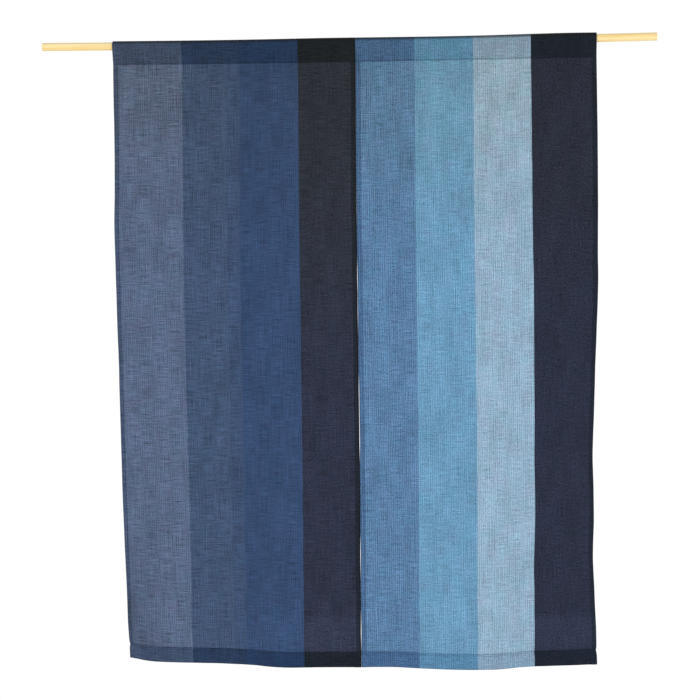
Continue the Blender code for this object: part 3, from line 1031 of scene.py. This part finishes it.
def stitched(name, lines, tree, thread, seed, **sizes):
    """A mesh of stitches along lines, each a list of places and outward directions."""
    mesh = bpy.data.meshes.new(name)
    places, outward, edges = [], [], []
    for line_places, line_outward in lines:
        start = len(places)
        places.extend(map(tuple, line_places))
        outward.extend(map(tuple, line_outward))
        edges.extend((i, i + 1) for i in range(start, len(places) - 1))
    mesh.from_pydata(places, edges, [])
    stored = mesh.attributes.new("outward", "FLOAT_VECTOR", "POINT")
    stored.data.foreach_set("vector", np.array(outward).ravel())
    guide = linked(f"{name}_lines", mesh)
    modifier = guide.modifiers.new("stitches", "NODES")
    values = {"Seed": seed, "Thread": thread, **sizes}
    modifier.node_group = tree
    for item in tree.interface.items_tree:
        if item.in_out == "INPUT" and item.name in values:
            modifier[item.identifier] = values[item.name]
    stitches = made_mesh(guide, name)
    stitches.data.shade_smooth()
    return stitches


def seam_lines(panel):
    """The panel's stitch rows on its face and on its back: pocket, bottom hem and side hems."""
    inside = SIDE_HEM - STITCH_INSET
    whole = np.linspace(SEAM_END, panel.width - SEAM_END, SEAM_POINTS)
    upper, lower = POCKET_DROP + POCKET_SEAM_INSET, DROP - HEM + STITCH_INSET
    tall = np.linspace(POCKET_DROP + SIDE_SEAM_START, DROP - HEM, SIDE_SEAM_POINTS)
    rows = [
        (whole, np.array([upper])),
        (whole, np.array([lower])),
        (np.array([inside]), tall),
        (np.array([panel.width - inside]), tall),
    ]
    surface = THICKNESS / 2
    lines = []
    for across, down in rows:
        places, back, _ = hung_frame(panel, across, down)
        places, back = places.reshape(-1, 3), back.reshape(-1, 3)
        lines.append((places - back * surface, -back))
        lines.append((places + back * (LAYER + surface), back))
    return lines


def join_lines():
    """The line down the middle of the joint, on the face and on the back."""
    left, right = PANELS
    down = np.linspace(POCKET_DROP + JOIN_START, JOIN_DEPTH, JOIN_POINTS)
    edge_left, back, _ = hung_frame(left, np.zeros(1), down)
    edge_right = hang(right, np.zeros(1), down)
    middle = ((edge_left + edge_right) / 2).reshape(-1, 3)
    back = back.reshape(-1, 3)
    return [
        (middle - back * THICKNESS / 2, -back),
        (middle + back * (LAYER + THICKNESS / 2), back),
    ]


def floor_material():
    nodes = Nodes("floor_white")
    place = nodes.node("ShaderNodeTexCoord").outputs["Object"]
    cloud = nodes.node("ShaderNodeTexNoise", {"Vector": place, "Scale": 1.5})
    darker = [FLOOR_BRIGHTNESS * FLOOR_DARKER] * 3 + [1.0]
    lighter = [FLOOR_BRIGHTNESS] * 3 + [1.0]
    nodes.put(nodes.shader.inputs["Base Color"], nodes.mix(cloud.outputs["Fac"], darker, lighter))
    nodes.shader.inputs["Roughness"].default_value = 0.9
    return nodes.material


def add_floor():
    bpy.ops.mesh.primitive_plane_add(size=FLOOR_SIZE, location=(0, 0, FLOOR_Z))
    floor = bpy.context.object
    floor.name = "floor"
    floor.data.materials.append(floor_material())


def add_lamp(lamp):
    """A square lamp that shines level at the middle of the cloth and isn't seen itself."""
    data = bpy.data.lights.new(lamp.name, "AREA")
    data.shape = "SQUARE"
    data.size = LAMP_SIZE
    data.energy = lamp.power
    data.color = lamp.colour
    thing = linked(lamp.name, data)
    thing.location = (lamp.aside, LAMP_FRONT, LAMP_HEIGHT)
    thing.visible_camera = False
    towards = Vector((0, 0, LAMP_HEIGHT)) - thing.location
    thing.rotation_euler = towards.to_track_quat("-Z", "Y").to_euler()


def add_light():
    world = bpy.data.worlds.new("studio")
    bpy.context.scene.world = world
    world.use_nodes = True
    sky = world.node_tree.nodes["Background"]
    sky.inputs["Color"].default_value = (1, 1, 1, 1)
    sky.inputs["Strength"].default_value = SKY_STRENGTH
    for lamp in LAMPS:
        add_lamp(lamp)


def add_camera():
    """The camera at the photo's place: nearly level, a little to the right of straight on."""
    right = Vector((cos(CAMERA_AZIMUTH), sin(CAMERA_AZIMUTH), 0))
    ahead = Vector((-sin(CAMERA_AZIMUTH), cos(CAMERA_AZIMUTH), 0))
    up = Vector((0, 0, 1))
    place = right * CAMERA_ASIDE - ahead * CAMERA_DISTANCE + up * CAMERA_HEIGHT
    rolled_right = right * cos(CAMERA_ROLL) - up * sin(CAMERA_ROLL)
    rolled_up = right * sin(CAMERA_ROLL) + up * cos(CAMERA_ROLL)
    turn = Matrix((rolled_right, rolled_up, -ahead)).transposed().to_4x4()
    data = bpy.data.cameras.new("camera")
    data.sensor_width = SENSOR
    data.lens = FOCAL_PX / PHOTO_SIDE * SENSOR
    camera = linked("camera", data)
    camera.matrix_world = Matrix.Translation(place) @ turn
    bpy.context.scene.camera = camera
    bpy.context.scene.view_settings.view_transform = "Standard"


def cut_size(panel):
    """Width and length of the panel's cloth before it was hemmed and hung."""
    _, laid_open, along = panel_surface(panel)
    return float(np.ptp(laid_open)), float(np.ptp(along))


def main():
    add_camera()
    add_light()
    add_floor()
    thread = thread_material()
    tree = stitch_tree()

    rod = build_rod()
    rod.data.materials.append(rod_material())
    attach(rod, "root")
    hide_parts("rod")

    join = stitched(
        "join_stitches",
        join_lines(),
        tree,
        thread,
        JOIN_SEED,
        **{"Spacing": JOIN_SPACING, "Stitch Length": JOIN_LENGTH, "Turn": JOIN_TURN},
    )
    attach(join, "root")

    for panel in PANELS:
        cloth = build_cloth(panel)
        cloth.data.materials.append(weave_material(panel))
        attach(cloth, "root")
        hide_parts(panel.node)
        name = panel.name.replace("cloth", "stitches")
        stitches = stitched(name, seam_lines(panel), tree, thread, panel.seed)
        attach(stitches, "root")
        cut_size(panel)


main()
